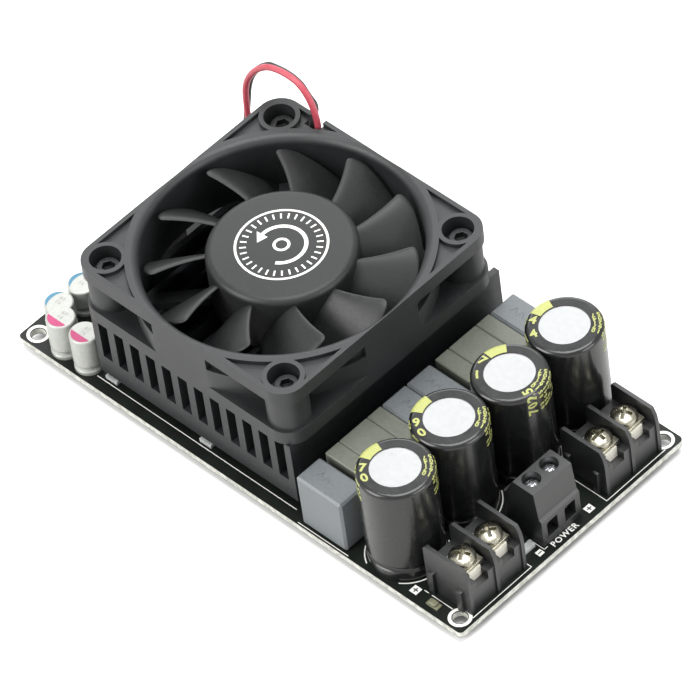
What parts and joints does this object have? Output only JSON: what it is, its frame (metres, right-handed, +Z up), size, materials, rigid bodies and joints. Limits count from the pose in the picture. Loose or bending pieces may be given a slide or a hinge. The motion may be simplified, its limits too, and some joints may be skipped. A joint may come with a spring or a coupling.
{
  "type": "audio amplifier board",
  "caption": "Audio amplifier board: fan-cooled finned heatsink, output filter row, tall reservoir capacitors, barrier speaker terminals and a power screw terminal on a black circuit board.",
  "frame": {"origin": "centre of the four standoff holes on the board's underside", "axes": "+X along the board's long side towards the terminals, +Z up, out of the component side"},
  "size_m": [0.125, 0.065, 0.046],
  "materials": {
    "board": "black solder mask, satin",
    "solder": "tin solder",
    "chip_part": "ceramic with tinned ends",
    "led": "clear yellowish lens on a white base",
    "chip_black": "moulded epoxy",
    "thermal_pad": "soft pad",
    "heatsink": "black anodised",
    "steel_screw": "zinc plated",
    "black_screw": "black oxide",
    "fan_plastic": "fine texture",
    "impeller_plastic": "satin",
    "bearing": "sintered",
    "stator": "laminated core with copper windings",
    "shaft": "ground",
    "magnet": "bonded ferrite",
    "white_plastic": "moulded nylon",
    "wire_red": "soft insulation",
    "wire_black": "soft insulation",
    "can": "bright",
    "sleeve": "shrunk film",
    "polymer_can": "bright, printed top",
    "film": "grey box",
    "ferrite": "fired ferrite",
    "coil": "enamelled copper",
    "terminal_black": "moulded, satin",
    "contact": "nickel plated",
    "nickel_screw": "warm nickel plating",
    "cage": "nickel plated"
  },
  "bodies": {
    "base": {"circuit_board": "board", "solder_joints": "solder", "chip_parts": "chip_part", "power_led": "led", "amplifier_chip": "chip_black", "thermal_pad": "thermal_pad", "heatsink": "heatsink", "heatsink_screws": "steel_screw", "fan_housing": "fan_plastic", "fan_bearing": "bearing", "fan_stator": "stator", "fan_screws": "black_screw", "fan_header": "white_plastic", "fan_plug": "white_plastic", "fan_lead_red": "wire_red", "fan_lead_black": "wire_black", "audio_input_header": "white_plastic", "reservoir_can_1": "can", "reservoir_can_2": "can", "reservoir_can_3": "can", "reservoir_can_4": "can", "reservoir_sleeve_1": "sleeve", "reservoir_sleeve_2": "sleeve", "reservoir_sleeve_3": "sleeve", "reservoir_sleeve_4": "sleeve", "polymer_capacitor_1": "polymer_can", "polymer_capacitor_2": "polymer_can", "polymer_capacitor_3": "polymer_can", "polymer_capacitor_4": "polymer_can", "film_capacitor_1": "film", "film_capacitor_2": "film", "film_capacitor_3": "film", "film_capacitor_4": "film", "inductor_1_front_core": "ferrite", "inductor_1_middle_core": "ferrite", "inductor_1_back_core": "ferrite", "inductor_2_front_core": "ferrite", "inductor_2_middle_core": "ferrite", "inductor_2_back_core": "ferrite", "inductor_coils": "coil", "speaker_terminal_1": "terminal_black", "speaker_terminal_2": "terminal_black", "speaker_contacts": "contact", "power_terminal": "terminal_black", "power_contacts": "contact"},
    "impeller": {"fan_impeller": "impeller_plastic", "fan_shaft": "shaft", "fan_magnet": "magnet"},
    "washer_1": {"speaker_washer_1": "nickel_screw"},
    "screw_1": {"speaker_screw_1": "nickel_screw"},
    "washer_2": {"speaker_washer_2": "nickel_screw"},
    "screw_2": {"speaker_screw_2": "nickel_screw"},
    "washer_3": {"speaker_washer_3": "nickel_screw"},
    "screw_3": {"speaker_screw_3": "nickel_screw"},
    "washer_4": {"speaker_washer_4": "nickel_screw"},
    "screw_4": {"speaker_screw_4": "nickel_screw"},
    "cage_1": {"power_cage_1": "cage"},
    "clamp_screw_1": {"power_screw_1": "cage"},
    "cage_2": {"power_cage_2": "cage"},
    "clamp_screw_2": {"power_screw_2": "cage"}
  },
  "joints": [
    {"name": "fan_spin", "type": "hinge", "parent": "base", "child": "impeller", "pos_m": [-0.0134, 0, 0.02], "axis": [0, 0, 1], "continuous": true},
    {"name": "speaker_screw_1_turn", "type": "hinge", "parent": "washer_1", "child": "screw_1", "pos_m": [0.0556, -0.02345, 0.0108], "axis": [0, 0, 1], "range_deg": [0, 1800]},
    {"name": "speaker_washer_1_lift", "type": "slide", "parent": "base", "child": "washer_1", "axis": [0, 0, 1], "range_m": [0, 0.003]},
    {"name": "speaker_screw_2_turn", "type": "hinge", "parent": "washer_2", "child": "screw_2", "pos_m": [0.0556, -0.01595, 0.0108], "axis": [0, 0, 1], "range_deg": [0, 1800]},
    {"name": "speaker_washer_2_lift", "type": "slide", "parent": "base", "child": "washer_2", "axis": [0, 0, 1], "range_m": [0, 0.003]},
    {"name": "speaker_screw_3_turn", "type": "hinge", "parent": "washer_3", "child": "screw_3", "pos_m": [0.0556, 0.01595, 0.0108], "axis": [0, 0, 1], "range_deg": [0, 1800]},
    {"name": "speaker_washer_3_lift", "type": "slide", "parent": "base", "child": "washer_3", "axis": [0, 0, 1], "range_m": [0, 0.003]},
    {"name": "speaker_screw_4_turn", "type": "hinge", "parent": "washer_4", "child": "screw_4", "pos_m": [0.0556, 0.02345, 0.0108], "axis": [0, 0, 1], "range_deg": [0, 1800]},
    {"name": "speaker_washer_4_lift", "type": "slide", "parent": "base", "child": "washer_4", "axis": [0, 0, 1], "range_m": [0, 0.003]},
    {"name": "power_screw_1_turn", "type": "hinge", "parent": "base", "child": "clamp_screw_1", "pos_m": [0.0556, -0.00304, 0.0133], "axis": [0, 0, 1], "range_deg": [-2160, 0]},
    {"name": "power_cage_1_lift", "type": "slide", "parent": "base", "child": "cage_1", "axis": [0, 0, 1], "range_m": [0, 0.003]},
    {"name": "power_screw_2_turn", "type": "hinge", "parent": "base", "child": "clamp_screw_2", "pos_m": [0.0556, 0.00204, 0.0133], "axis": [0, 0, 1], "range_deg": [-2160, 0]},
    {"name": "power_cage_2_lift", "type": "slide", "parent": "base", "child": "cage_2", "axis": [0, 0, 1], "range_m": [0, 0.003]}
  ],
  "couplings": [
    {"joint": "speaker_screw_1_turn", "follows": "speaker_washer_1_lift", "rad_per_m": 10472},
    {"joint": "speaker_screw_2_turn", "follows": "speaker_washer_2_lift", "rad_per_m": 10472},
    {"joint": "speaker_screw_3_turn", "follows": "speaker_washer_3_lift", "rad_per_m": 10472},
    {"joint": "speaker_screw_4_turn", "follows": "speaker_washer_4_lift", "rad_per_m": 10472},
    {"joint": "power_screw_1_turn", "follows": "power_cage_1_lift", "rad_per_m": -12566},
    {"joint": "power_screw_2_turn", "follows": "power_cage_2_lift", "rad_per_m": -12566}
  ]
}
